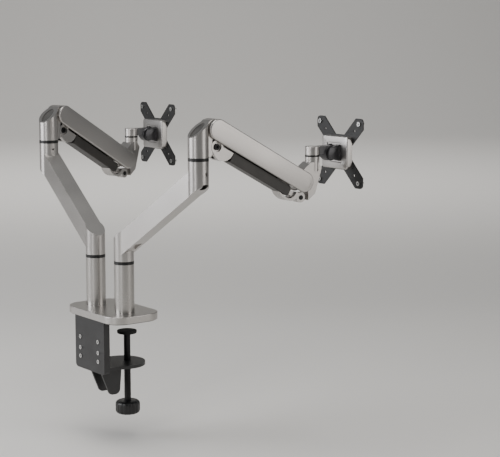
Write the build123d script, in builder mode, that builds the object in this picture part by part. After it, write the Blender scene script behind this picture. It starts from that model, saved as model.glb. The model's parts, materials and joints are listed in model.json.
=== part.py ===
from build123d import *
from math import atan2, cos, degrees, radians, sin
import os

# Twin gas-spring monitor arm on a desk clamp.
# Origin: desk surface, midway between the two posts. +Z up, -Y towards the user, +X the right-hand arm.
os.makedirs("parts", exist_ok=True)

# base plate and posts
base_width = 166.0
base_front = -55.5
base_rear = 44.5
base_corner = 30.0
base_thickness = 12.0
pad_thickness = 1.5
post_spacing = 91.0
post_radius = 16.8
post_top = 96.8
ring_height = 5.4
ring_proud = 0.15
ring_groove = 0.6
spindle_radius = 9.95
bush_wall = 2.0
swivel_clearance = 0.05
face_gap = 0.1
bolt_radius = 4.0

# desk clamp
bracket_width = 93.0
bracket_bottom = -90.0
bracket_face = 42.3
bracket_sheet = 4.0
bracket_flange = 11.4
jaw_width = 66.0
jaw_top = -28.0
jaw_leg_bottom = -134.0
jaw_leg_x = 16.0
jaw_leg_front = -6.0
jaw_leg_rear = 14.0
jaw_plate_top = -82.0
jaw_plate_mid = -20.7
jaw_plate_radius = 41.4
jaw_plate_thickness = 5.5
jaw_screw_x = 28.5
clamp_rod_radius = 5.8
clamp_rod_y = -33.0
clamp_pad_top = -29.3
clamp_pad_radius = 17.0
clamp_pad_thickness = 5.0
knob_top = -153.5
knob_height = 23.0
knob_radius = 21.5

# lower arms
lower_length = 170.0
lower_rise = 0.7175
lower_half_width = 14.5
lower_under = 112.0
lower_over = 148.6
elbow_z = 281.5

# elbow housing and parallel spring arm (u = reach from the elbow axis)
pivot_u = 29.0
pivot_z = 331.0
arm_reach = 171.0
arm_drop = 94.0
link_drop = 28.0
housing_low = 319.0
housing_top = 346.5
knuckle_half = 11.5
knuckle_radius = 17.0
knuckle_low = 315.5
tongue_half = 4.0
tongue_radius = 7.6
fork_gap = 0.5
cover_inner = 12.0
cover_thickness = 5.5
cover_radius = 17.0
cover_from = 0.3
cover_to = 198.3
pin_radius = 4.0
pin_clearance = 0.05
gas_pin_drop = 10.0
gas_pin_radius = 2.5
gas_cylinder_radius = 7.5
gas_rod_radius = 3.0
lug_radius = 20.5
link_end_radius = 11.5
head_cheek_radius = 8.5
head_cheek_half = 7.5

# head
head_u = 229.4
head_radius = 12.2
head_ring_low = 275.5
head_ring_height = 3.0
head_top = 293.0
head_pin_radius = 6.0
tilt_u = 35.0
tilt_z = 280.0
tilt_radius = 13.0
box_front = 48.7
box_depth = 11.5
box_width = 66.0
box_height = 55.0
box_corner = 5.0
vesa_face = 62.7
vesa_plate_size = 118.0
vesa_pattern = 100.0
vesa_small_pattern = 75.0
vesa_hole = 2.25
vesa_leg_width = 26.0

# rest attitude of each arm: heading of the lower arm, the spring arm and the head, in degrees
headings = {"right": (-2.87, -73.07, -90.0), "left": (-167.63, -91.77, -90.0)}
post_side = {"right": 1, "left": -1}

arm_angle = -degrees(atan2(arm_drop, arm_reach))
base_top = pad_thickness + base_thickness
ring_low = post_top
hub_low = post_top + ring_height + face_gap
housing_bottom = elbow_z + ring_height + face_gap
SIDE = Plane.XZ


def save(part, name):
    part.label = name
    export_step(part, f"parts/{name}.step")
    print(f"{name:28s} solids {len(part.solids())}  volume {part.volume:10.0f}")


def along(origin_u, origin_z, angle):
    """A side plane whose x axis runs along a tilted arm, at a given pivot."""
    return Plane(origin=(origin_u, 0, origin_z), x_dir=(cos(radians(angle)), 0, sin(radians(angle))), z_dir=(0, -1, 0))


# ---------------------------------------------------------------- base
base_depth = base_rear - base_front
base_mid = (base_rear + base_front) / 2
post_places = [(-post_spacing / 2, 0), (post_spacing / 2, 0)]
bracket_screw_places = [(-30, 18), (30, 18), (-30, 32), (30, 32)]
pocket_depth = 4.1
flange_depth = 33.0
flange_mid = bracket_face - flange_depth / 2

with BuildPart() as base_plate:
    with BuildSketch(Plane.XY.offset(pad_thickness)):
        with Locations((0, base_mid)):
            RectangleRounded(base_width, base_depth, base_corner)
    extrude(amount=base_thickness)
    fillet(base_plate.edges().group_by(Axis.Z)[-1], 1.2)
    with BuildSketch(Plane.XY.offset(pad_thickness)):
        with Locations((0, flange_mid)):
            Rectangle(bracket_width + 1, flange_depth + 1)
    extrude(amount=pocket_depth, mode=Mode.SUBTRACT)
    with BuildSketch(Plane.XY.offset(pad_thickness)):
        with Locations(*post_places):
            Circle(bolt_radius + 0.3)
    extrude(amount=base_thickness, mode=Mode.SUBTRACT)
    with BuildSketch(Plane.XY.offset(pad_thickness)):
        with Locations(*post_places):
            Circle(8.5)
    extrude(amount=6.0, mode=Mode.SUBTRACT)
    with BuildSketch(Plane.XY.offset(pad_thickness + pocket_depth)):
        with Locations(*bracket_screw_places):
            Circle(2.5)
    extrude(amount=6.0, mode=Mode.SUBTRACT)
save(base_plate.part, "base_plate")

with BuildPart() as base_pad:
    with BuildSketch():
        with Locations((0, base_mid)):
            RectangleRounded(base_width - 6, base_depth - 6, base_corner - 3)
        with Locations((0, flange_mid)):
            Rectangle(bracket_width + 1, flange_depth + 2, mode=Mode.SUBTRACT)
        with Locations(*post_places):
            Circle(8.5, mode=Mode.SUBTRACT)
    extrude(amount=pad_thickness)
save(base_pad.part, "base_pad")


def make_post(x):
    with BuildPart() as post:
        with Locations((x, 0, base_top)):
            Cylinder(post_radius, post_top - base_top, align=(Align.CENTER, Align.CENTER, Align.MIN))
        with Locations((x, 0, post_top)):
            Hole(spindle_radius + swivel_clearance + bush_wall, post_top - 40)
        with Locations((x, 0, base_top)):
            Cylinder(bolt_radius, 24, align=(Align.CENTER, Align.CENTER, Align.MIN), mode=Mode.SUBTRACT)
        # grub-screw hole near the top, on the outer rear side
        with Locations(Location((x, 0, 80), (0, 0, 52))):
            with Locations(Location((0, 0, 0), (0, 90, 0))):
                Cylinder(1.9, 30, align=(Align.CENTER, Align.CENTER, Align.MIN), mode=Mode.SUBTRACT)
    return post.part


for side, sign in post_side.items():
    save(make_post(sign * post_spacing / 2), f"post_{side}")

with BuildPart() as post_bolts:
    with Locations(*[(x, y, pad_thickness + 6.0) for x, y in post_places]):
        Cylinder(bolt_radius, 26, align=(Align.CENTER, Align.CENTER, Align.MIN))
    with Locations(*[(x, y, pad_thickness + 0.6) for x, y in post_places]):
        Cylinder(7.0, 5.4, align=(Align.CENTER, Align.CENTER, Align.MIN))
    with BuildSketch(Plane.XY.offset(pad_thickness + 0.6)):
        with Locations(*post_places):
            RegularPolygon(3.4, 6)
    extrude(amount=3.5, mode=Mode.SUBTRACT)
save(post_bolts.part, "post_bolts")

with BuildPart() as post_bushes:
    with BuildSketch(Plane.XY.offset(44)):
        with Locations(*post_places):
            Circle(spindle_radius + swivel_clearance + bush_wall)
            Circle(spindle_radius + swivel_clearance, mode=Mode.SUBTRACT)
    extrude(amount=post_top - 44)
save(post_bushes.part, "post_bushes")


def friction_ring(places, z, radius, bore, height):
    """Black friction rings: two bands with a narrow groove between them."""
    with BuildPart() as rings:
        with BuildSketch(Plane.XY.offset(z)):
            with Locations(*places):
                Circle(radius)
                Circle(bore, mode=Mode.SUBTRACT)
        extrude(amount=height)
        with BuildSketch(Plane.XY.offset(z + height / 2 - ring_groove / 2)):
            with Locations(*places):
                Circle(radius + 1)
                Circle(radius - ring_groove, mode=Mode.SUBTRACT)
        extrude(amount=ring_groove, mode=Mode.SUBTRACT)
    return rings.part


ring_radius = post_radius + ring_proud
save(friction_ring(post_places, ring_low, ring_radius, spindle_radius + 0.3, ring_height), "post_rings")

# ---------------------------------------------------------------- clamp
bracket_inner = bracket_face - bracket_sheet
bracket_roof = pad_thickness + pocket_depth - face_gap
hole_rows = [-35.0, -54.0, -69.0]
with BuildPart() as clamp_bracket:
    # front plate with folded sides and rounded lower corners
    with BuildSketch(Plane.XZ.offset(-bracket_face)) as outline:
        with Locations((0, (bracket_roof + bracket_bottom) / 2)):
            Rectangle(bracket_width, bracket_roof - bracket_bottom)
        fillet(outline.vertices().group_by(Axis.Z)[0], 7.0)
    extrude(amount=bracket_flange)
    with BuildSketch(Plane.XZ.offset(-bracket_inner)):
        with Locations((0, -50)):
            Rectangle(bracket_width - 2 * bracket_sheet, 140)
        with Locations((0, 10)):
            Rectangle(bracket_width + 2, 26)
    extrude(amount=bracket_flange, mode=Mode.SUBTRACT)
    # top flange that sits in the pocket under the base plate
    with BuildSketch(Plane.XY.offset(bracket_roof)):
        with Locations((0, flange_mid)):
            Rectangle(bracket_width, flange_depth)
    extrude(amount=-bracket_sheet)
    with BuildSketch(Plane.XZ.offset(-bracket_face)):
        with GridLocations(2 * jaw_screw_x, 1, 2, 1):
            with Locations(*[(0, z) for z in hole_rows]):
                Circle(2.6)
    extrude(amount=bracket_sheet, mode=Mode.SUBTRACT)
    with BuildSketch(Plane.XY.offset(bracket_roof)):
        with Locations(*bracket_screw_places):
            Circle(2.6)
    extrude(amount=-bracket_sheet, mode=Mode.SUBTRACT)
    with BuildSketch(Plane.XY.offset(bracket_roof - bracket_sheet)):
        with Locations(*bracket_screw_places):
            Circle(4.3)
    extrude(amount=2.3, mode=Mode.SUBTRACT)
save(clamp_bracket.part, "clamp_bracket")

with BuildPart() as bracket_screws:
    screw_low = bracket_roof - bracket_sheet + 0.1
    with Locations(*[(x, y, screw_low) for x, y in bracket_screw_places]):
        Cylinder(4.2, 2.2, align=(Align.CENTER, Align.CENTER, Align.MIN))
        Cylinder(2.4, 9.8, align=(Align.CENTER, Align.CENTER, Align.MIN))
    with BuildSketch(Plane.XY.offset(screw_low)):
        with Locations(*bracket_screw_places):
            RegularPolygon(2.0, 6)
    extrude(amount=1.6, mode=Mode.SUBTRACT)
save(bracket_screws.part, "bracket_screws")

jaw_back = bracket_inner
with BuildPart() as clamp_jaw:
    # web against the bracket
    with BuildSketch(Plane.XZ.offset(-jaw_back)):
        with Locations((0, (jaw_top + jaw_plate_top) / 2)):
            Rectangle(jaw_width, jaw_top - jaw_plate_top)
    extrude(amount=bracket_sheet)
    # two legs with rounded feet under the ledge
    with BuildSketch(Plane.YZ.offset(jaw_leg_x - bracket_sheet / 2)) as leg_side:
        Polygon(
            (jaw_back - bracket_sheet, jaw_plate_top - 2),
            (jaw_leg_rear, jaw_leg_bottom),
            (jaw_leg_front, jaw_leg_bottom),
            (jaw_leg_front - 4, jaw_plate_top - 2),
            align=None,
        )
        feet = leg_side.vertices().group_by(Axis.Z)[0]
        fillet(feet, 9.0)
    extrude(amount=bracket_sheet)
    mirror(about=Plane.YZ)
    # round clamping ledge that carries the screw
    with BuildSketch(Plane.XY.offset(jaw_plate_top)):
        with Locations((0, jaw_plate_mid)):
            Circle(jaw_plate_radius)
        with Locations((0, (jaw_back + jaw_plate_mid) / 2)):
            Rectangle(jaw_width, jaw_back - jaw_plate_mid)
    extrude(amount=-jaw_plate_thickness)
    with Locations((0, clamp_rod_y, jaw_plate_top - jaw_plate_thickness)):
        Cylinder(11, 8, align=(Align.CENTER, Align.CENTER, Align.MAX))
    with Locations((0, clamp_rod_y, jaw_plate_top - 7)):
        Cylinder(clamp_rod_radius + 0.05, 20, mode=Mode.SUBTRACT)
    with BuildSketch(Plane.XZ.offset(-jaw_back)):
        with GridLocations(2 * jaw_screw_x, 1, 2, 1):
            with Locations(*[(0, z) for z in hole_rows]):
                Circle(2.2)
    extrude(amount=bracket_sheet, mode=Mode.SUBTRACT)
save(clamp_jaw.part, "clamp_jaw")

with BuildPart() as jaw_screws:
    for z in hole_rows:
        for x in (-jaw_screw_x, jaw_screw_x):
            with BuildSketch(Plane.XZ.offset(-bracket_face)):
                with Locations((x, z)):
                    Circle(3.6)
            extrude(amount=-1.6)
            with BuildSketch(Plane.XZ.offset(-bracket_face)):
                with Locations((x, z)):
                    Circle(2.2)
            extrude(amount=bracket_sheet * 2 - 0.3)
            with BuildSketch(Plane.XZ.offset(-bracket_face - 1.6)):
                with Locations((x, z)):
                    RegularPolygon(1.8, 6)
            extrude(amount=1.3, mode=Mode.SUBTRACT)
save(jaw_screws.part, "jaw_screws")

rod_low = knob_top - knob_height + 4
with BuildPart() as clamp_rod:
    with Locations((0, clamp_rod_y, rod_low)):
        Cylinder(clamp_rod_radius, clamp_pad_top - 1.5 - rod_low, align=(Align.CENTER, Align.CENTER, Align.MIN))
save(clamp_rod.part, "clamp_rod")

with BuildPart() as clamp_pad:
    with Locations((0, clamp_rod_y, clamp_pad_top)):
        Cylinder(clamp_pad_radius, clamp_pad_thickness, align=(Align.CENTER, Align.CENTER, Align.MAX))
    fillet(clamp_pad.edges().group_by(Axis.Z)[0], 1.5)
    with Locations((0, clamp_rod_y, clamp_pad_top - 1.5)):
        Cylinder(clamp_rod_radius, 10, align=(Align.CENTER, Align.CENTER, Align.MAX), mode=Mode.SUBTRACT)
save(clamp_pad.part, "clamp_pad")

with BuildPart() as clamp_knob:
    with Locations((0, clamp_rod_y, knob_top)):
        Cylinder(knob_radius, knob_height, align=(Align.CENTER, Align.CENTER, Align.MAX))
    fillet(clamp_knob.edges().group_by(Axis.Z)[0], 7.0)
    fillet(clamp_knob.edges().group_by(Axis.Z)[-1], 7.0)
    with Locations((0, clamp_rod_y, knob_top)):
        with PolarLocations(knob_radius + 3.0, 16):
            Cylinder(3.7, knob_height, align=(Align.CENTER, Align.CENTER, Align.MAX), mode=Mode.SUBTRACT)
    with Locations((0, clamp_rod_y, knob_top)):
        Cylinder(clamp_rod_radius, knob_height - 4, align=(Align.CENTER, Align.CENTER, Align.MAX), mode=Mode.SUBTRACT)
save(clamp_knob.part, "clamp_knob")

# ---------------------------------------------------------------- lower arm (local frame: post axis at the origin)


def under_z(u):
    return lower_under + lower_rise * (u - 5)


def over_z(u):
    return lower_over + lower_rise * u


far = lower_length + post_radius
with BuildPart() as lower_arm:
    with BuildSketch(SIDE):
        Polygon(
            (0, hub_low),
            (2, hub_low),
            (10, under_z(10)),
            (lower_length, under_z(lower_length)),
            (lower_length, elbow_z),
            (lower_length - 8, elbow_z),
            (lower_length - 8, over_z(lower_length - 8)),
            (0, over_z(0)),
            align=None,
        )
    extrude(amount=lower_half_width, both=True)
    with Locations((0, 0, hub_low)):
        Cylinder(post_radius, 60, align=(Align.CENTER, Align.CENTER, Align.MIN))
    with Locations((lower_length, 0, elbow_z)):
        Cylinder(post_radius, 70, align=(Align.CENTER, Align.CENTER, Align.MAX))
    with BuildSketch(SIDE):
        Polygon(
            (-post_radius - 1, hub_low),
            (post_radius + 1, hub_low),
            (post_radius + 1, under_z(post_radius + 1)),
            (far + 1, under_z(far + 1)),
            (far + 1, elbow_z),
            (lower_length - post_radius - 1, elbow_z),
            (lower_length - post_radius - 1, over_z(lower_length - post_radius - 1)),
            (-post_radius - 1, over_z(-post_radius - 1)),
            align=None,
        )
    extrude(amount=post_radius + 1, both=True, mode=Mode.INTERSECT)
    # cable way through the bar, open in the underside by the hub and in the side of the upper socket
    slope = lower_rise
    with BuildSketch(SIDE):
        Polygon(
            (18, under_z(18) - 3),
            (34, under_z(34) - 3),
            (40, under_z(40) + 8),
            (150, under_z(150) + 8),
            (150, under_z(150) + 24),
            (24, under_z(24) + 24),
            align=None,
        )
    extrude(amount=7.5, both=True, mode=Mode.SUBTRACT)
    # spindle that turns in the post, and bore for the elbow spindle
    with Locations((0, 0, hub_low + 2)):
        Cylinder(spindle_radius, hub_low + 2 - 46, align=(Align.CENTER, Align.CENTER, Align.MAX))
    with Locations((lower_length, 0, elbow_z)):
        Cylinder(
            spindle_radius + swivel_clearance,
            34,
            align=(Align.CENTER, Align.CENTER, Align.MAX),
            mode=Mode.SUBTRACT,
        )

    # cable slot and adjuster hole on the outer side of the upper socket, grub-screw hole on the inner side
    outer_side = Plane(origin=(far + 3, 0, 0), x_dir=(0, 1, 0), z_dir=(1, 0, 0))
    with BuildSketch(outer_side):
        with Locations((0, 240)):
            RectangleRounded(14, 9, 2.5)
    extrude(amount=-45, mode=Mode.SUBTRACT)
    with BuildSketch(outer_side):
        with Locations((0, 261)):
            SlotOverall(6.4, 3.6, rotation=90)
    extrude(amount=-8, mode=Mode.SUBTRACT)
    with BuildSketch(Plane(origin=(lower_length - post_radius - 3, 0, 0), x_dir=(0, 1, 0), z_dir=(1, 0, 0))):
        with Locations((0, 271)):
            Circle(1.9)
    extrude(amount=8, mode=Mode.SUBTRACT)

elbow_ring_part = friction_ring([(lower_length, 0)], elbow_z, ring_radius, spindle_radius + 0.3, ring_height)

# ---------------------------------------------------------------- elbow housing (local frame: elbow axis at the origin)
link_z = pivot_z - link_drop
gas_z = pivot_z - gas_pin_drop
with BuildPart() as elbow_housing:
    with Locations((0, 0, housing_bottom)):
        Cylinder(post_radius, 70, align=(Align.CENTER, Align.CENTER, Align.MIN))
    with BuildSketch(SIDE):
        with Locations((pivot_u, pivot_z)):
            Circle(knuckle_radius)
        with Locations((pivot_u, knuckle_low - 10)):
            Rectangle(60, 20, mode=Mode.SUBTRACT)
        Polygon(
            (0, knuckle_low),
            (0, housing_top),
            (pivot_u, housing_top),
            (pivot_u, knuckle_low),
            align=None,
        )
        # web down the face of the cylinder, hollowed round the link's end
        Polygon((0, 288.5), (17, 288.5), (19, 291), (19, 318), (0, 318), align=None)
        with Locations((pivot_u, link_z)):
            Circle(link_end_radius + 0.6, mode=Mode.SUBTRACT)
    extrude(amount=knuckle_half, both=True)
    # central tongue for the parallel link
    with BuildSketch(SIDE):
        with Locations((pivot_u, link_z)):
            Circle(tongue_radius)
        Polygon(
            (0, link_z - tongue_radius),
            (pivot_u, link_z - tongue_radius),
            (pivot_u, link_z + tongue_radius),
            (0, link_z + tongue_radius),
            align=None,
        )
    extrude(amount=tongue_half, both=True)
    # sloping crown
    with BuildSketch(SIDE):
        Polygon(
            (-post_radius - 1, housing_bottom),
            (60, housing_bottom),
            (60, housing_top + 4),
            (post_radius + 4.9, housing_top + 4),
            (-post_radius - 1, housing_low - 0.8),
            align=None,
        )
    extrude(amount=post_radius + 1, both=True, mode=Mode.INTERSECT)
    # slot for the gas-spring eye
    with BuildSketch(SIDE):
        Polygon((19, 312.6), (50, 312.6), (50, 340), (19, 340), align=None)
    extrude(amount=tongue_half + fork_gap, both=True, mode=Mode.SUBTRACT)
    with BuildSketch(SIDE):
        with Locations((pivot_u, pivot_z)):
            Circle(pin_radius + pin_clearance)
        with Locations((pivot_u, link_z)):
            Circle(pin_radius + pin_clearance)
        with Locations((pivot_u, gas_z)):
            Circle(gas_pin_radius)
    extrude(amount=knuckle_half, both=True, mode=Mode.SUBTRACT)
    # spindle that turns in the lower arm's upper socket
    with Locations((0, 0, housing_bottom + 2)):
        Cylinder(spindle_radius, 2 + 37, align=(Align.CENTER, Align.CENTER, Align.MAX))
crown_plane = Plane(
    origin=(-1.5, 0, housing_low - 0.8 + (post_radius - 0.5) * (housing_top - housing_low + 0.8) / (2 * post_radius + 1)),
    x_dir=(2 * post_radius + 1, 0, housing_top - housing_low + 0.8),
    z_dir=(-(housing_top - housing_low + 0.8), 0, 2 * post_radius + 1),
)
with BuildPart() as crown_pocket:
    with BuildSketch(crown_plane):
        Ellipse(16.5, 9.0)
    extrude(amount=-4.0)
with BuildPart() as elbow_cap:
    with BuildSketch(crown_plane.offset(-4.0)):
        Ellipse(16.5, 9.0)
    extrude(amount=2.6)
elbow_housing_part = elbow_housing.part - crown_pocket.part

with BuildPart() as gas_pin:
    with BuildSketch(SIDE):
        with Locations((pivot_u, gas_z)):
            Circle(gas_pin_radius)
    extrude(amount=9.0, both=True)

# ---------------------------------------------------------------- spring arm
arm_length = (arm_reach**2 + arm_drop**2) ** 0.5
arm_plane = along(pivot_u, pivot_z, arm_angle)


def arm_at(offset):
    """The arm's side plane moved sideways, so that a sketch sits at w = -offset."""
    return arm_plane.offset(offset)


with BuildPart() as arm_cover:
    with BuildSketch(arm_at(cover_inner)):
        with Locations(((cover_from + cover_to) / 2, 0)):
            SlotCenterToCenter(cover_to - cover_from, 2 * cover_radius)
    extrude(amount=cover_thickness)
    rim = arm_cover.edges().group_by(Axis.Y)[0]
    fillet(rim, 2.2)
    with BuildSketch(arm_at(cover_inner)):
        with Locations((0, 0), (arm_length, 0)):
            Circle(pin_radius)
    extrude(amount=2.8, mode=Mode.SUBTRACT)

with BuildPart() as arm_frame:
    with BuildSketch(arm_at(-cover_inner - cover_thickness)):
        with Locations(((cover_from + cover_to) / 2, 0)):
            SlotCenterToCenter(cover_to - cover_from, 2 * cover_radius)
    extrude(amount=cover_thickness)
    rim = arm_frame.edges().group_by(Axis.Y)[-1]
    fillet(rim, 2.2)
    with BuildSketch(arm_plane):
        with Locations((34 + 65.5, 11.5)):
            Rectangle(131, 4)
        with Locations((156, 1.5)):
            Rectangle(8, 21)
    extrude(amount=cover_inner, both=True)
    with BuildSketch(arm_at(-cover_inner)):
        with Locations((0, 0), (arm_length, 0)):
            Circle(pin_radius)
    extrude(amount=-2.8, mode=Mode.SUBTRACT)

with BuildPart() as pivot_pins:
    # two stub pins at the elbow knuckle, one through pin at the head
    for w in (cover_inner + 2.8, -tongue_half - fork_gap - 1.0):
        with BuildSketch(arm_at(w)):
            Circle(pin_radius)
        extrude(amount=-(cover_inner + 2.8 - tongue_half - fork_gap - 1.0))
    with BuildSketch(arm_plane):
        with Locations((arm_length, 0)):
            Circle(pin_radius)
    extrude(amount=cover_inner + 2.8, both=True)

gas_perp = -8.5
gas_bore = 5.8
gas_start = 60.0
gas_end = 152.0
gas_eye = gas_pin_drop * sin(radians(-arm_angle))
gas_axis = Plane(
    origin=arm_plane.from_local_coords((gas_start, gas_perp, 0)),
    x_dir=(0, 1, 0),
    z_dir=arm_plane.x_dir,
)
with BuildPart() as gas_cylinder:
    with BuildSketch(gas_axis):
        Circle(gas_cylinder_radius)
    extrude(amount=gas_end - gas_start)
    fillet(gas_cylinder.edges(), 1.0)
    with BuildSketch(gas_axis.offset(4)):
        Circle(gas_bore)
    extrude(amount=gas_end - gas_start - 8, mode=Mode.SUBTRACT)
    with BuildSketch(gas_axis):
        Circle(gas_rod_radius + 0.05)
    extrude(amount=4, mode=Mode.SUBTRACT)

with BuildPart() as gas_rod:
    rod_start = gas_eye + 4.5
    with BuildSketch(gas_axis.offset(rod_start - gas_start)):
        Circle(gas_rod_radius)
    extrude(amount=96 - rod_start)
    with BuildSketch(gas_axis.offset(90 - gas_start)):
        Circle(gas_bore - 0.05)
    extrude(amount=6)
    with BuildSketch(arm_plane):
        with Locations((gas_eye, gas_perp)):
            Circle(6.5)
    extrude(amount=tongue_half - 0.2, both=True)
    with BuildSketch(arm_plane):
        with Locations((gas_eye, gas_perp)):
            Rectangle(6.4, 8.8)
    extrude(amount=tongue_half, both=True, mode=Mode.SUBTRACT)

# ---------------------------------------------------------------- parallel link with its cable channel
link_plane = along(pivot_u, link_z, arm_angle)


def link_at(offset):
    return link_plane.offset(offset)


lug_top = 5.0
channel_start = 34.5
channel_end = 167.0
channel_width = 21.0
channel_floor = -10.5
channel_lip = 7.0
with BuildPart() as lower_link:
    with BuildSketch(link_plane):
        Circle(link_end_radius)
        with Locations((12.5, 3.5)):
            Circle(lug_radius)
        with Locations((12.5, lug_top + 20)):
            Rectangle(60, 40, mode=Mode.SUBTRACT)
        with Locations((0, 0)):
            Circle(link_end_radius)
    extrude(amount=knuckle_half, both=True)
    # the bar inside the channel
    with BuildSketch(link_plane):
        with Locations((105, -2)):
            Rectangle(165, 8)
    extrude(amount=6, both=True)
    # hook at the head end: a curved lip that dips below the channel and comes back up to the bar
    with BuildSketch(link_plane):
        with BuildLine():
            ThreePointArc((147, -10.8), (159, -16.2), (173, -15.6))
            ThreePointArc((173, -15.6), (182.5, -10.0), (186.5, 1.0))
            Line((186.5, 1.0), (187.5, 4.0))
            Line((187.5, 4.0), (180.0, 4.0))
            ThreePointArc((180.0, 4.0), (176.5, -8.5), (165.0, -13.4))
            Line((165.0, -13.4), (147, -10.8))
        make_face()
    extrude(amount=10.5, both=True)
    with BuildSketch(link_plane):
        with Locations((arm_length, 0)):
            Circle(head_cheek_radius)
    extrude(amount=head_cheek_half, both=True)
    # forks round the two tongues
    with BuildSketch(link_plane):
        with Locations((-4, 0)):
            Rectangle(30, 60)
        with Locations((arm_length, 0)):
            Rectangle(21.5, 60)
    extrude(amount=tongue_half + fork_gap, both=True, mode=Mode.SUBTRACT)
    with BuildSketch(link_plane):
        with Locations((0, 0), (arm_length, 0)):
            Circle(pin_radius)
    extrude(amount=knuckle_half, both=True, mode=Mode.SUBTRACT)
    # recess for the tension screw head
    with BuildSketch(link_at(knuckle_half)):
        Circle(8.0)
    extrude(amount=-3.0, mode=Mode.SUBTRACT)

with BuildPart() as cable_channel:
    channel_plane = Plane(
        origin=link_plane.from_local_coords((channel_start, 0, 0)),
        x_dir=(0, 1, 0),
        z_dir=link_plane.x_dir,
    )
    with BuildSketch(channel_plane):
        with Locations((0, (channel_floor + channel_lip) / 2)):
            RectangleRounded(channel_width, channel_lip - channel_floor, 1.2)
        with Locations((0, channel_floor + 1.5 + 10)):
            Rectangle(channel_width - 3, 20, mode=Mode.SUBTRACT)
    extrude(amount=channel_end - channel_start)
    # rounded outline at the head end
    with BuildSketch(link_plane):
        with Locations((channel_end - 90, (channel_floor + channel_lip) / 2)):
            RectangleRounded(180, channel_lip - channel_floor, 6.0)
    extrude(amount=channel_width, both=True, mode=Mode.INTERSECT)

with BuildPart() as link_pins:
    with BuildSketch(link_plane):
        with Locations((0, 0), (arm_length, 0)):
            Circle(pin_radius)
    extrude(amount=8.5, both=True)
    # socket-head tension screw in the lug recess
    with BuildSketch(link_at(8.5)):
        Circle(5.2)
    extrude(amount=2.2)
    with BuildSketch(link_at(10.7)):
        RegularPolygon(2.4, 6)
    extrude(amount=-1.8, mode=Mode.SUBTRACT)

# ---------------------------------------------------------------- head bracket (same local frame as the elbow housing)
end_u = pivot_u + arm_reach
end_z = pivot_z - arm_drop
end_link_z = end_z - link_drop
with BuildPart() as head_bracket:
    with BuildSketch(SIDE):
        with Locations((end_u, end_z)):
            Circle(15)
        Polygon(
            (end_u, end_z - 15),
            (end_u - 4, end_z + 14),
            (head_u - head_radius + 1.1, 267),
            (head_u + 4, 267),
            (head_u + head_radius - 1.1, 257),
            (head_u + 7, 243),
            (head_u - 2, 215),
            (end_u + 12.6, end_link_z - 5),
            (end_u + 12.6, end_z - 16),
            align=None,
        )
    extrude(amount=knuckle_half, both=True)
    with BuildSketch(SIDE):
        with Locations((end_u, end_link_z)):
            Circle(8.5)
        Polygon(
            (end_u, end_link_z - 8.5),
            (end_u + 20, end_link_z - 2),
            (end_u + 20, end_link_z + 8.5),
            (end_u, end_link_z + 8.5),
            align=None,
        )
    extrude(amount=tongue_half, both=True)
    with Locations((head_u, 0, head_ring_low)):
        Cylinder(head_radius, 24, align=(Align.CENTER, Align.CENTER, Align.MAX))
    with BuildSketch(SIDE):
        with Locations((end_u, end_z), (end_u, end_link_z)):
            Circle(pin_radius + pin_clearance)
    extrude(amount=knuckle_half, both=True, mode=Mode.SUBTRACT)
    with Locations((head_u, 0, head_ring_low)):
        Cylinder(
            head_pin_radius + swivel_clearance,
            16,
            align=(Align.CENTER, Align.CENTER, Align.MAX),
            mode=Mode.SUBTRACT,
        )

with BuildPart() as head_ring:
    with BuildSketch(Plane.XY.offset(head_ring_low)):
        with Locations((head_u, 0)):
            Circle(head_radius + ring_proud)
            Circle(head_pin_radius + 0.3, mode=Mode.SUBTRACT)
    extrude(amount=head_ring_height)

# ---------------------------------------------------------------- head (local frame: head axis at the origin, +u to the screen)
swivel_low = head_ring_low + head_ring_height + face_gap
with BuildPart() as head_swivel:
    with Locations((0, 0, swivel_low)):
        Cylinder(head_radius, head_top - swivel_low, align=(Align.CENTER, Align.CENTER, Align.MIN))
    fillet(head_swivel.edges().group_by(Axis.Z)[-1], 1.0)
    with Locations((0, 0, swivel_low)):
        Cylinder(head_pin_radius, 12, align=(Align.CENTER, Align.CENTER, Align.MIN))
    with Locations((0, 0, swivel_low)):
        Cylinder(head_pin_radius, 17, align=(Align.CENTER, Align.CENTER, Align.MAX))
    with BuildSketch(Plane.XY.offset(swivel_low)):
        with Locations((12, 0)):
            Rectangle(8, 14)
    extrude(amount=head_top - swivel_low, mode=Mode.SUBTRACT)

with BuildPart() as head_link:
    with BuildSketch(SIDE):
        with Locations((tilt_u, tilt_z)):
            Circle(tilt_radius)
    extrude(amount=8.5, both=True)
    chamfer(head_link.edges().filter_by(GeomType.CIRCLE), 1.2)
    with BuildSketch(SIDE):
        Polygon(
            (8, swivel_low + 0.4),
            (tilt_u, swivel_low + 0.4),
            (tilt_u, head_top - 0.4),
            (8, head_top - 0.4),
            align=None,
        )
    extrude(amount=7, both=True)
    with BuildSketch(SIDE):
        with Locations((tilt_u, tilt_z)):
            Circle(4.05)
    extrude(amount=9, both=True, mode=Mode.SUBTRACT)

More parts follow.
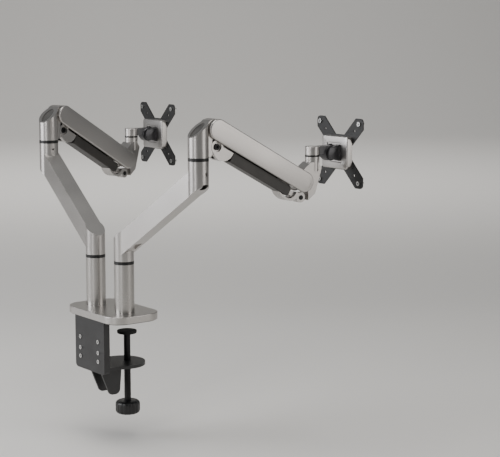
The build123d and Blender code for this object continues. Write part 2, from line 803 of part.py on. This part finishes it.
FRONT = Plane(origin=(0, 0, tilt_z), x_dir=(0, 1, 0), z_dir=(1, 0, 0))
with BuildPart() as vesa_box:
    with BuildSketch(FRONT.offset(box_front)):
        RectangleRounded(box_width, box_height, box_corner)
    extrude(amount=box_depth)
    fillet(vesa_box.edges().group_by(Axis.X)[0], 2.0)
    # arched boss and the two ears that hold the tilt pin
    with BuildSketch(FRONT.offset(box_front + 2)):
        RectangleRounded(36, 42, 17.5)
    extrude(amount=-5, taper=14)
    for w in (-1, 1):
        with BuildSketch(Plane.XZ.offset(w * 11.4 - 2.4)):
            with Locations((tilt_u, tilt_z)):
                Circle(11)
            Polygon(
                (tilt_u, tilt_z - 11),
                (box_front + 1, tilt_z - 14),
                (box_front + 1, tilt_z + 14),
                (tilt_u, tilt_z + 11),
                align=None,
            )
        extrude(amount=4.8)
    with BuildSketch(SIDE):
        with Locations((tilt_u, tilt_z)):
            Circle(tilt_radius + 0.6)
    extrude(amount=9, both=True, mode=Mode.SUBTRACT)
    with BuildSketch(SIDE):
        with Locations((tilt_u, tilt_z)):
            Circle(4.0)
    extrude(amount=20, both=True, mode=Mode.SUBTRACT)
    # bore for the plate's turning stub
    with BuildSketch(FRONT.offset(box_front + box_depth)):
        Circle(12.05)
    extrude(amount=-6, mode=Mode.SUBTRACT)

with BuildPart() as tilt_pin:
    with BuildSketch(SIDE):
        with Locations((tilt_u, tilt_z)):
            Circle(4.0)
    extrude(amount=13.6, both=True)
    with BuildSketch(SIDE.offset(13.6)):
        with Locations((tilt_u, tilt_z)):
            RegularPolygon(2.4, 6)
    extrude(amount=-2.5, mode=Mode.SUBTRACT)

plate_back = box_front + box_depth + face_gap
leg = vesa_plate_size / 2
with BuildPart() as vesa_plate:
    with BuildSketch(FRONT.offset(plate_back)):
        RectangleRounded(60, 60, 6)
        for a in (45, 135):
            with Locations(Location((0, 0), a)):
                Rectangle(4 * leg, vesa_leg_width)
        RectangleRounded(vesa_plate_size, vesa_plate_size, 7, mode=Mode.INTERSECT)
        with GridLocations(vesa_pattern, vesa_pattern, 2, 2):
            Circle(vesa_hole, mode=Mode.SUBTRACT)
        with GridLocations(vesa_small_pattern, vesa_small_pattern, 2, 2):
            Circle(vesa_hole, mode=Mode.SUBTRACT)
    extrude(amount=vesa_face - plate_back)
    with BuildSketch(FRONT.offset(plate_back)):
        Circle(12.0)
    extrude(amount=-5.6)

with BuildPart() as vesa_screws:
    with BuildSketch(FRONT.offset(plate_back)):
        with GridLocations(vesa_pattern, vesa_pattern, 2, 2):
            Circle(3.9)
    extrude(amount=-2.6)
    with BuildSketch(FRONT.offset(plate_back)):
        with GridLocations(vesa_pattern, vesa_pattern, 2, 2):
            Circle(vesa_hole - 0.05)
    extrude(amount=vesa_face - plate_back, taper=degrees(atan2(vesa_hole - 0.05 - 2.0, vesa_face - plate_back)))
    with BuildSketch(FRONT.offset(vesa_face)):
        with GridLocations(vesa_pattern, vesa_pattern, 2, 2):
            Circle(2.0)
    extrude(amount=8)
    with BuildSketch(FRONT.offset(plate_back - 2.6)):
        with GridLocations(vesa_pattern, vesa_pattern, 2, 2):
            RegularPolygon(1.7, 6)
    extrude(amount=1.6, mode=Mode.SUBTRACT)

# ---------------------------------------------------------------- place both arms
lower_pieces = {
    "lower_arm": lower_arm.part,
    "elbow_ring": elbow_ring_part,
}
elbow_pieces = {
    "elbow_housing": elbow_housing_part,
    "elbow_cap": elbow_cap.part,
    "gas_pin": gas_pin.part,
    "arm_cover": arm_cover.part,
    "arm_frame": arm_frame.part,
    "pivot_pins": pivot_pins.part,
    "gas_cylinder": gas_cylinder.part,
    "gas_rod": gas_rod.part,
    "lower_link": lower_link.part,
    "cable_channel": cable_channel.part,
    "link_pins": link_pins.part,
    "head_bracket": head_bracket.part,
    "head_ring": head_ring.part,
}
head_pieces = {
    "head_swivel": head_swivel.part,
    "head_link": head_link.part,
    "vesa_box": vesa_box.part,
    "tilt_pin": tilt_pin.part,
    "vesa_plate": vesa_plate.part,
    "vesa_screws": vesa_screws.part,
}

for side, sign in post_side.items():
    lower_heading, spring_heading, head_heading = headings[side]
    post_axis = Vector(sign * post_spacing / 2, 0, 0)
    elbow_axis = post_axis + Vector(lower_length, 0, 0).rotate(Axis.Z, lower_heading)
    head_axis = elbow_axis + Vector(head_u, 0, 0).rotate(Axis.Z, spring_heading)
    print(side, "elbow axis", elbow_axis, "head axis", head_axis)
    for pieces, centre, heading in (
        (lower_pieces, post_axis, lower_heading),
        (elbow_pieces, elbow_axis, spring_heading),
        (head_pieces, head_axis, head_heading),
    ):
        for name, piece in pieces.items():
            placed = piece.moved(Location((centre.X, centre.Y, 0), (0, 0, heading)))
            save(placed, f"{side}_{name}")
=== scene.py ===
import json
import math

import bpy
from mathutils import Matrix, Vector


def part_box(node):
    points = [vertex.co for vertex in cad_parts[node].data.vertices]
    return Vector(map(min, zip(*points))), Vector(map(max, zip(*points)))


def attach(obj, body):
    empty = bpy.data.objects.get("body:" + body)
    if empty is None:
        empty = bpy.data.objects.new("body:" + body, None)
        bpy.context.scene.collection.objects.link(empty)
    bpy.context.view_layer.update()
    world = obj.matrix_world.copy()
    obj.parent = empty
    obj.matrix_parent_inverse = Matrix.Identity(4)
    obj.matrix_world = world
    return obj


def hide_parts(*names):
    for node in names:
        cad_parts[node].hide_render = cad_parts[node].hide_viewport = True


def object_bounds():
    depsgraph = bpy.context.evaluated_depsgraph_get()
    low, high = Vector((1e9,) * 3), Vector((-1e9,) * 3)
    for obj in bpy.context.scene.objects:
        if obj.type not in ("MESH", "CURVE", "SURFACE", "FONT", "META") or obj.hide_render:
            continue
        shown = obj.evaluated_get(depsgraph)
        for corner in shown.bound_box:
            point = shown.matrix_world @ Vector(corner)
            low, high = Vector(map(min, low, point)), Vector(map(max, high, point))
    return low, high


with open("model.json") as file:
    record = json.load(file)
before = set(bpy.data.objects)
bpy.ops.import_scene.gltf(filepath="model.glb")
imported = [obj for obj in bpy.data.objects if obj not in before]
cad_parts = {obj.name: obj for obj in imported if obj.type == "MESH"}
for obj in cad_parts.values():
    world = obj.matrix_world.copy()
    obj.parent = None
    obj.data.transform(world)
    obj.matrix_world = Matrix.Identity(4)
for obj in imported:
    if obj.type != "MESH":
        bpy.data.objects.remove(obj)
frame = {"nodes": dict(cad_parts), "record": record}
cad_low, cad_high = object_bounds()
MM = 0.001
TINY = 0.001 * MM
SIDES = ("right", "left")


def linear(hex_colour):
    """sRGB hex to linear RGBA."""
    parts = [int(hex_colour[i : i + 2], 16) / 255 for i in (0, 2, 4)]
    return tuple(p / 12.92 if p <= 0.04045 else ((p + 0.055) / 1.055) ** 2.4 for p in parts) + (1.0,)


# ------------------------------------------------------------------ materials
def add(tree, kind, settings, links=None):
    """Adds a shader node: attributes and sockets by name, then its incoming links."""
    node = tree.nodes.new(kind)
    for name, value in settings.items():
        if name in node.inputs:
            node.inputs[name].default_value = value
        else:
            setattr(node, name, value)
    for name, source in (links or {}).items():
        tree.links.new(source, node.inputs[name])
    return node


def start(name):
    """A material with an empty tree and its output."""
    material = bpy.data.materials.new(name)
    material.use_nodes = True
    material.node_tree.nodes.clear()
    return material, material.node_tree


def finish_material(tree, shader):
    """Sends a shader to the surface output."""
    output = tree.nodes.new("ShaderNodeOutputMaterial")
    tree.links.new(shader.outputs["BSDF"], output.inputs["Surface"])


def noise(tree, scale, detail, roughness=0.5):
    """Fractal noise fixed to the object; a scale of 1000 has one blotch a millimetre."""
    place = add(tree, "ShaderNodeTexCoord", {}).outputs["Object"]
    settings = {"Scale": scale, "Detail": detail, "Roughness": roughness}
    return add(tree, "ShaderNodeTexNoise", settings, {"Vector": place}).outputs["Fac"]


def ramp(tree, source, low, high, low_out, high_out):
    """Maps a value from one range onto another."""
    return add(
        tree,
        "ShaderNodeMapRange",
        {"From Min": low, "From Max": high, "To Min": low_out, "To Max": high_out},
        {"Value": source},
    ).outputs["Result"]


def two_tone(tree, source, dark, light):
    """Blends two hex colours by a value."""
    mix = add(tree, "ShaderNodeMix", {"data_type": "RGBA"})
    mix.inputs[6].default_value = linear(dark)
    mix.inputs[7].default_value = linear(light)
    tree.links.new(source, mix.inputs[0])
    return mix.outputs[2]


def silver_coat(name, dark, light, rough_low, rough_high, metal, grain_mm, bump, coat):
    """Satin silver over die-cast aluminium: tiny flake that breaks the highlight, soft broad sheen."""
    material, tree = start(name)
    flake = noise(tree, 1000 / grain_mm, 2.0, 0.6)
    cloud = noise(tree, 14.0, 1.5)
    tone = ramp(tree, flake, 0.3, 0.7, 0.0, 1.0)
    rough = ramp(tree, cloud, 0.3, 0.7, rough_low, rough_high)
    grain = add(
        tree, "ShaderNodeBump", {"Strength": bump, "Distance": 0.00012}, {"Height": flake}
    ).outputs["Normal"]
    shader = add(
        tree,
        "ShaderNodeBsdfPrincipled",
        {"Metallic": metal, "Coat Weight": coat, "Coat Roughness": 0.25},
        {"Base Color": two_tone(tree, tone, dark, light), "Roughness": rough, "Normal": grain},
    )
    finish_material(tree, shader)
    return material


def moulded(name, dark, light, rough_low, rough_high, grain_mm, bump, ior=1.5, metal=0.0):
    """Black or grey moulded or powder-coated skin: fine texture, dull highlight, faint dust in the tone."""
    material, tree = start(name)
    texture = noise(tree, 1000 / grain_mm, 3.0, 0.55)
    cloud = noise(tree, 30.0, 4.0)
    tone = ramp(tree, cloud, 0.35, 0.65, 0.0, 1.0)
    rough = ramp(tree, texture, 0.3, 0.7, rough_low, rough_high)
    skin = add(
        tree, "ShaderNodeBump", {"Strength": bump, "Distance": 0.0002}, {"Height": texture}
    ).outputs["Normal"]
    shader = add(
        tree,
        "ShaderNodeBsdfPrincipled",
        {"Metallic": metal, "IOR": ior},
        {"Base Color": two_tone(tree, tone, dark, light), "Roughness": rough, "Normal": skin},
    )
    finish_material(tree, shader)
    return material


FINISH = {
    # bead-blasted, clear-anodised aluminium: fine even grain that softens the highlights
    "plate_silver": silver_coat(
        "Bead-blasted anodised plate", "AEABA8", "C4C1BE", 0.30, 0.35, 1.0, 0.7, 0.05, 0.0
    ),
    "post_silver": silver_coat(
        "Bead-blasted anodised tube", "A7A5A2", "BDBAB7", 0.27, 0.31, 1.0, 0.7, 0.05, 0.0
    ),
    # satin silver lacquer on die castings: even metallic sheen with a crisper clear layer on top
    "satin_silver": silver_coat(
        "Satin silver lacquer on die casting", "AFACAA", "C2BFBC", 0.29, 0.35, 1.0, 0.6, 0.04, 0.1
    ),
    # compounded rubber: nearly no highlight
    "rubber_black": moulded("Moulded rubber", "0B0B0B", "151515", 0.70, 0.85, 0.6, 0.3),
    # zinc-plated turned steel: small bright glints on screw heads
    "steel_bright": silver_coat("Zinc-plated steel", "B9B9B8", "D9D9D8", 0.18, 0.28, 1.0, 0.4, 0.08, 0.0),
    # black-oxide steel: dark with a tight metallic glint
    "steel_black": moulded("Black-oxide steel", "101011", "1D1D1F", 0.32, 0.45, 0.5, 0.1, metal=0.6),
    # moulded acetal: deep black with a narrow soft line of light
    "plastic_black": moulded("Moulded black acetal", "0A0A0B", "121213", 0.33, 0.43, 0.7, 0.1),
    # moulded ABS insert: dark neutral grey in the crown's recess
    "plastic_grey": moulded("Moulded grey ABS", "3A3938", "474644", 0.40, 0.5, 0.8, 0.12),
    # moulded ABS trough: warm charcoal with a slight sheen
    "plastic_charcoal": moulded("Moulded charcoal ABS", "2A2826", "35322F", 0.38, 0.48, 0.8, 0.15),
    # powder-coated pressed steel: dark grey, fine orange peel
    "clamp_black": moulded("Black powder coat on pressed steel", "1D1D1E", "272728", 0.38, 0.5, 0.9, 0.35),
    # powder-coated laser-cut plate: near black, soft edge light
    "plate_black": moulded("Black powder coat on steel plate", "0D0D0E", "171718", 0.36, 0.46, 0.9, 0.3),
    # dark metallic lacquer: reads as gunmetal between the bright castings
    "gunmetal": moulded(
        "Dark satin lacquer on die casting", "454547", "545456", 0.26, 0.36, 0.5, 0.1, metal=0.8
    ),
}

# every part made in CAD gets the finish that its record names; the posts have a finish of their own
slots = {entry["node"]: entry["material_slot"] for entry in frame["record"]["subparts"]}
for name, node in frame["nodes"].items():
    finish = "post_silver" if name.startswith("post_") and slots[name] == "satin_silver" else slots[name]
    for slot in node.material_slots:
        slot.material = FINISH[finish]

# ------------------------------------------------------------------ modelled pieces
joints = {joint["name"]: joint for joint in frame["record"]["behaviour"]["joints"]}


def shape_edit(obj, choose, operation, mode="VERT"):
    """Selects vertices by place, edges by both ends or faces by centre and normal, then runs an operator."""
    bpy.ops.object.select_all(action="DESELECT")
    obj.select_set(True)
    bpy.context.view_layer.objects.active = obj
    bpy.ops.object.mode_set(mode="EDIT")
    bpy.ops.mesh.select_mode(type=mode)
    bpy.ops.mesh.select_all(action="DESELECT")
    bpy.ops.object.mode_set(mode="OBJECT")
    mesh = obj.data
    if mode == "VERT":
        for vertex in mesh.vertices:
            vertex.select = choose(vertex.co)
    elif mode == "EDGE":
        for edge in mesh.edges:
            edge.select = choose(*[mesh.vertices[i].co for i in edge.vertices])
    else:
        for face in mesh.polygons:
            face.select = choose(face.center, face.normal)
    bpy.ops.object.mode_set(mode="EDIT")
    operation()
    bpy.ops.object.mode_set(mode="OBJECT")


def settle(obj, name, place, finish, body, replaced=(), smooth=35):
    """Puts a piece modelled in its own frame into place, with its finish and the body it rides on."""
    obj.name = name
    bpy.ops.object.select_all(action="DESELECT")
    obj.select_set(True)
    bpy.context.view_layer.objects.active = obj
    obj.matrix_world = place
    bpy.ops.object.transform_apply(location=True, rotation=True, scale=True)
    bpy.ops.object.mode_set(mode="EDIT")
    bpy.ops.mesh.select_all(action="SELECT")
    bpy.ops.mesh.normals_make_consistent(inside=False)
    bpy.ops.object.mode_set(mode="OBJECT")
    bpy.ops.object.shade_smooth_by_angle(angle=math.radians(smooth))
    obj.data.materials.clear()
    obj.data.materials.append(FINISH[finish])
    if replaced:
        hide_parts(*replaced)
    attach(obj, body)


def frame_of(origin, along, out):
    """Matrix whose x runs along, whose z points out of the visible face, at an origin."""
    x = along.normalized()
    z = out.normalized()
    y = z.cross(x)
    place = Matrix((x, y, z)).transposed().to_4x4()
    place.translation = origin
    return place


# ------------------------------------------------------------------ covers of the spring arms
COVER_RADIUS = 17.0 * MM
COVER_LENGTH = 198.0 * MM  # between the centres of its two round ends
COVER_DEPTH = 5.5 * MM
COVER_OUT = 17.5 * MM  # outer face from the arm's middle plane
COVER_START = 0.3 * MM  # first round end's centre past the arm pivot
COVER_ROLL = 2.4 * MM  # rounding of the outer edge
CROWN_ROOM = 0.25 * MM  # the face drops by this first, so that the crown ends within the cover's depth
CROWN_RING = 4.5 * MM
CROWN_RISES = (0.16 * MM, 0.08 * MM)


def crown():
    """Raises the selected face towards its middle in two low steps."""
    for rise in CROWN_RISES:
        bpy.ops.mesh.inset(thickness=CROWN_RING)
        bpy.ops.transform.translate(value=(0, 0, rise))


for side in SIDES:
    pivot = Vector(joints[f"{side}_arm_lift"]["pos_m"])
    end = Vector(joints[f"{side}_head_level"]["pos_m"])
    # the turning axis points out of the arm's removable side cover
    outward = Vector(joints[f"{side}_arm_lift"]["axis"])
    run = end - pivot
    # a disc whose one half is moved along gives the long shape with round ends
    bpy.ops.object.select_all(action="DESELECT")
    bpy.ops.mesh.primitive_cylinder_add(vertices=96, radius=COVER_RADIUS, depth=COVER_DEPTH)
    cover = bpy.context.object
    shape_edit(
        cover,
        lambda co: co.x > TINY,
        lambda: bpy.ops.transform.translate(value=(COVER_LENGTH, 0, 0)),
    )
    face_z = COVER_DEPTH / 2
    shape_edit(
        cover,
        lambda co: co.z > face_z - TINY,
        lambda: bpy.ops.transform.translate(value=(0, 0, -CROWN_ROOM)),
    )
    # rolled outer edge
    shape_edit(
        cover,
        lambda a, b: a.z > 0 and b.z > 0,
        lambda: bpy.ops.mesh.bevel(offset=COVER_ROLL, segments=7, profile=0.55, affect="EDGES"),
        mode="EDGE",
    )
    shape_edit(cover, lambda centre, normal: normal.z > 0.99 and centre.z > 0, crown, mode="FACE")
    place = frame_of(pivot + run.normalized() * COVER_START + outward * (COVER_OUT - face_z), run, outward)
    settle(cover, f"{side}_cover_shell", place, "satin_silver", f"{side}_spring_arm", [f"{side}_arm_cover"])

# ------------------------------------------------------------------ mounting boxes and their tilt ears
BOX_WIDTH = 66.0 * MM
BOX_HEIGHT = 55.0 * MM
BOX_DEPTH = 11.5 * MM
BOX_SETBACK = 13.7 * MM  # the box's visible face from the tilt pin
BOX_CORNER = 5.0 * MM
BOX_ROLL = 1.8 * MM
POCKET_RIM = 0.8 * MM
POCKET_SHARE = (0.62, 0.68, 1)
POCKET_DRAFT = 0.9 * MM
POCKET_DEPTH = 1.4 * MM
EAR_RADIUS = 10.5 * MM
EAR_THICK = 4.8 * MM
EAR_OFFSET = 11.4 * MM  # an ear's middle from the head's middle plane
EAR_FOOT = BOX_SETBACK + 1.5 * MM  # just below the pocket's floor
EAR_SPREAD = 1.35
EAR_ROLL = 0.9 * MM


def sink_pocket():
    """Shrinks the selected face to the pocket's size, then sinks it with sloping walls."""
    bpy.ops.mesh.inset(thickness=POCKET_RIM)
    bpy.ops.transform.resize(value=POCKET_SHARE, center_override=(0, 0, BOX_DEPTH / 2))
    bpy.ops.mesh.inset(thickness=POCKET_DRAFT, depth=-POCKET_DEPTH)


for side in SIDES:
    tilt = Vector(joints[f"{side}_screen_tilt"]["pos_m"])
    towards_screen = Vector(joints[f"{side}_screen_turn"]["axis"])
    across = Vector(joints[f"{side}_screen_tilt"]["axis"])
    # die-cast box behind the plate: rounded corners, rolled rear edge, shallow pocket round the knuckle
    bpy.ops.object.select_all(action="DESELECT")
    bpy.ops.mesh.primitive_cube_add(size=1.0)
    box = bpy.context.object
    shape_edit(
        box,
        lambda co: True,
        lambda: bpy.ops.transform.resize(value=(BOX_WIDTH, BOX_HEIGHT, BOX_DEPTH)),
    )
    shape_edit(
        box,
        lambda a, b: abs(a.z - b.z) > 0.5 * BOX_DEPTH,
        lambda: bpy.ops.mesh.bevel(offset=BOX_CORNER, segments=8, affect="EDGES"),
        mode="EDGE",
    )
    shape_edit(
        box,
        lambda a, b: min(a.z, b.z) > BOX_DEPTH / 2 - TINY,
        lambda: bpy.ops.mesh.bevel(offset=BOX_ROLL, segments=5, affect="EDGES"),
        mode="EDGE",
    )
    shape_edit(box, lambda centre, normal: normal.z > 0.999 and centre.z > 0, sink_pocket, mode="FACE")
    place = frame_of(tilt + towards_screen * (BOX_SETBACK + BOX_DEPTH / 2), across, -towards_screen)
    settle(box, f"{side}_mount_box", place, "satin_silver", f"{side}_tilt_head", [f"{side}_vesa_box"])

    # two ears that carry the tilt pin: round at the free end, wider and square at the foot in the pocket
    for hand, letter in ((-1, "a"), (1, "b")):
        bpy.ops.object.select_all(action="DESELECT")
        bpy.ops.mesh.primitive_cylinder_add(vertices=64, radius=EAR_RADIUS, depth=EAR_THICK)
        ear = bpy.context.object
        shape_edit(
            ear,
            lambda co: co.x > TINY,
            lambda: bpy.ops.transform.translate(value=(EAR_FOOT - EAR_RADIUS, 0, 0)),
        )
        shape_edit(
            ear,
            lambda co: co.x > TINY,
            lambda: bpy.ops.transform.resize(value=(0, EAR_SPREAD, 1), center_override=(EAR_FOOT, 0, 0)),
        )
        shape_edit(
            ear,
            lambda a, b: min(a.z, b.z) > EAR_THICK / 2 - TINY,
            lambda: bpy.ops.mesh.bevel(offset=EAR_ROLL, segments=3, affect="EDGES"),
            mode="EDGE",
        )
        place = frame_of(tilt + across * hand * EAR_OFFSET, towards_screen, across * hand)
        settle(ear, f"{side}_tilt_ear_{letter}", place, "gunmetal", f"{side}_tilt_head")

# ------------------------------------------------------------------ clamp knob
# a rounded drum with shallow finger flutes
FLUTE_PITCH = 22.5  # degrees
FLUTE_FROM, FLUTE_TO = 8.0, 14.5  # degrees within each pitch
FLUTE_SHARE = 0.975
KNOB_ROLL = 6.5 * MM
knob_low, knob_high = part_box("clamp_knob")
knob_radius = (knob_high.x - knob_low.x) / 2
knob_height = knob_high.z - knob_low.z
bpy.ops.object.select_all(action="DESELECT")
bpy.ops.mesh.primitive_cylinder_add(vertices=128, radius=knob_radius, depth=knob_height)
knob = bpy.context.object
shape_edit(
    knob,
    lambda co: FLUTE_FROM < math.degrees(math.atan2(co.y, co.x)) % FLUTE_PITCH < FLUTE_TO,
    lambda: bpy.ops.transform.resize(value=(FLUTE_SHARE, FLUTE_SHARE, 1), center_override=(0, 0, 0)),
)
for end_sign in (-1, 1):
    shape_edit(
        knob,
        lambda a, b: min(a.z * end_sign, b.z * end_sign) > knob_height / 2 - TINY,
        lambda: bpy.ops.mesh.bevel(offset=KNOB_ROLL, segments=8, affect="EDGES"),
        mode="EDGE",
    )
place = Matrix.Translation([(lowest + highest) / 2 for lowest, highest in zip(knob_low, knob_high)])
settle(knob, "clamp_grip", place, "plastic_black", "clamp_screw", ["clamp_knob"], smooth=50)

# ------------------------------------------------------------------ floor, light and camera
VIEW_HEADING = math.radians(148.2)  # the camera's side of the object, seen from above
FLOOR_SIZE = 18.0
FAR_EDGE = FLOOR_SIZE / 2 - 1.0  # only the far edge's corners lie beyond this
WALL_HEIGHT = 6.0
WALL_CURVE = 3.0
# the floor stays clear of the clamp knob when the pad is let right down
floor_z = cad_low.z + joints["clamp_pad_slide"]["range_m"][0]
bpy.ops.object.select_all(action="DESELECT")
bpy.ops.mesh.primitive_plane_add(size=FLOOR_SIZE, location=(0, 0, floor_z))
floor = bpy.context.object
floor.name = "floor"
bpy.ops.object.mode_set(mode="EDIT")
bpy.ops.mesh.select_all(action="DESELECT")
bpy.ops.object.mode_set(mode="OBJECT")
# the edge far from the camera is raised into a backdrop with a wide curve at its foot
for edge in floor.data.edges:
    ends = [floor.data.vertices[i].co.x for i in edge.vertices]
    edge.select = min(ends) > FAR_EDGE
bpy.ops.object.mode_set(mode="EDIT")
bpy.ops.mesh.select_mode(type="EDGE")
bpy.ops.mesh.extrude_edges_move(TRANSFORM_OT_translate={"value": (0, 0, WALL_HEIGHT)})
bpy.ops.mesh.select_all(action="DESELECT")
bpy.ops.object.mode_set(mode="OBJECT")
for edge in floor.data.edges:
    ends = [floor.data.vertices[i].co for i in edge.vertices]
    edge.select = all(end.x > FAR_EDGE and end.z < WALL_HEIGHT / 2 for end in ends)
bpy.ops.object.mode_set(mode="EDIT")
bpy.ops.mesh.bevel(offset=WALL_CURVE, segments=24, affect="EDGES")
bpy.ops.object.mode_set(mode="OBJECT")
bpy.ops.object.shade_smooth()
floor.rotation_euler = (0, 0, VIEW_HEADING - math.pi)
bpy.ops.object.transform_apply(location=True, rotation=True, scale=True)
# matt emulsion: an even pale ground with no highlight of its own
material, tree = start("Pale studio floor")
shader = add(tree, "ShaderNodeBsdfPrincipled", {"Base Color": linear("DEDCD9"), "Roughness": 0.8})
finish_material(tree, shader)
floor.data.materials.append(material)


def soft_light(name, location, target, size, power, tint):
    """A rectangular lamp aimed at a target."""
    bpy.ops.object.light_add(type="AREA", location=location)
    light = bpy.context.object
    light.name = name
    light.data.shape = "RECTANGLE"
    light.data.size, light.data.size_y = size
    light.data.energy = power
    light.data.color = linear(tint)[:3]
    aim = Vector(target) - Vector(location)
    light.rotation_mode = "QUATERNION"
    light.rotation_quaternion = aim.to_track_quat("-Z", "Y")


def around(offset_deg, distance, height):
    """A place at an angle round the object from the camera's heading, positive to the left in view."""
    heading = VIEW_HEADING - math.radians(offset_deg)
    return (distance * math.cos(heading), distance * math.sin(heading), height)


LAMP_AIM = (0, -0.1, 0.15)
soft_light("left panel", around(88, 2.2, 0.9), LAMP_AIM, (1.6, 1.8), 46, "FBFCFF")
soft_light("right panel", around(-62, 2.3, 0.75), LAMP_AIM, (1.1, 1.6), 12, "FFFBF6")
soft_light("front strip", around(34, 2.1, 0.7), LAMP_AIM, (0.28, 1.7), 8, "FFFFFF")
soft_light("overhead", (-0.2, 0.3, 2.3), (0, -0.1, 0.2), (1.6, 1.6), 36, "FFFDF9")
soft_light("backdrop wash", around(180, 3.2, 2.6), around(180, 6.5, 0.2), (3.5, 1.5), 120, "FFFDFA")

world = bpy.data.worlds.new("Soft studio")
world.use_nodes = True
world.node_tree.nodes["Background"].inputs["Color"].default_value = linear("C9CBCC")
world.node_tree.nodes["Background"].inputs["Strength"].default_value = 0.38
bpy.context.scene.world = world

CAMERA_PLACE = (-2.1289, 1.3219, 0.5219)
CAMERA_HEADING = 232.681  # degrees
CAMERA_DOWN = 8.449  # degrees below level
bpy.ops.object.camera_add(location=CAMERA_PLACE)
camera = bpy.context.object
camera.rotation_mode = "XYZ"
camera.rotation_euler = (math.radians(90 - CAMERA_DOWN), 0.0, math.radians(CAMERA_HEADING))
camera.data.sensor_width = 36.0
camera.data.lens = 106.8
camera.data.clip_start = 0.05
camera.data.clip_end = 50.0
bpy.context.scene.camera = camera
